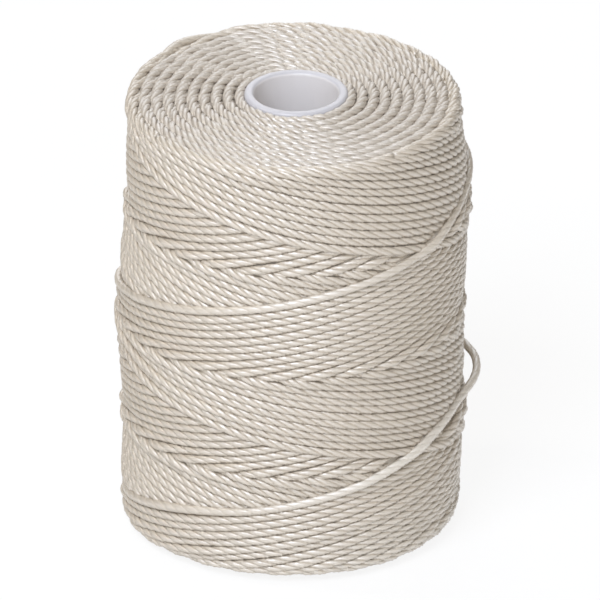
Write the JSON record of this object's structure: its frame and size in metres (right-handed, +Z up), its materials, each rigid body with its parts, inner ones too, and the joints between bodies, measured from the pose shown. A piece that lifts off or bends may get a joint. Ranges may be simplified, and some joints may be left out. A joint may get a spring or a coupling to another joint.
{
  "type": "waxed thread spool",
  "caption": "Flangeless cross-wound package of waxed twisted sewing cord on a small plastic tube, for hand-stitching leather.",
  "frame": {"origin": "on the tube's axis, in the plane of its lower lip, on which the spool stands", "axes": "+Z up along the tube; -Y is the front, where the last pass of cord crosses over the others"},
  "size_m": [0.0399, 0.0388, 0.0524],
  "materials": {
    "waxed_cord": "waxed, softly glossy twisted nylon",
    "buried_cord": "waxed, softly glossy twisted nylon in shade",
    "tube_plastic": "moulded, slightly translucent, satin"
  },
  "bodies": {
    "root": {"core_tube": "tube_plastic", "inner_windings": "buried_cord", "outer_winding": "waxed_cord", "top_end_turns": "waxed_cord", "bottom_end_turns": "waxed_cord"}
  },
  "joints": []
}
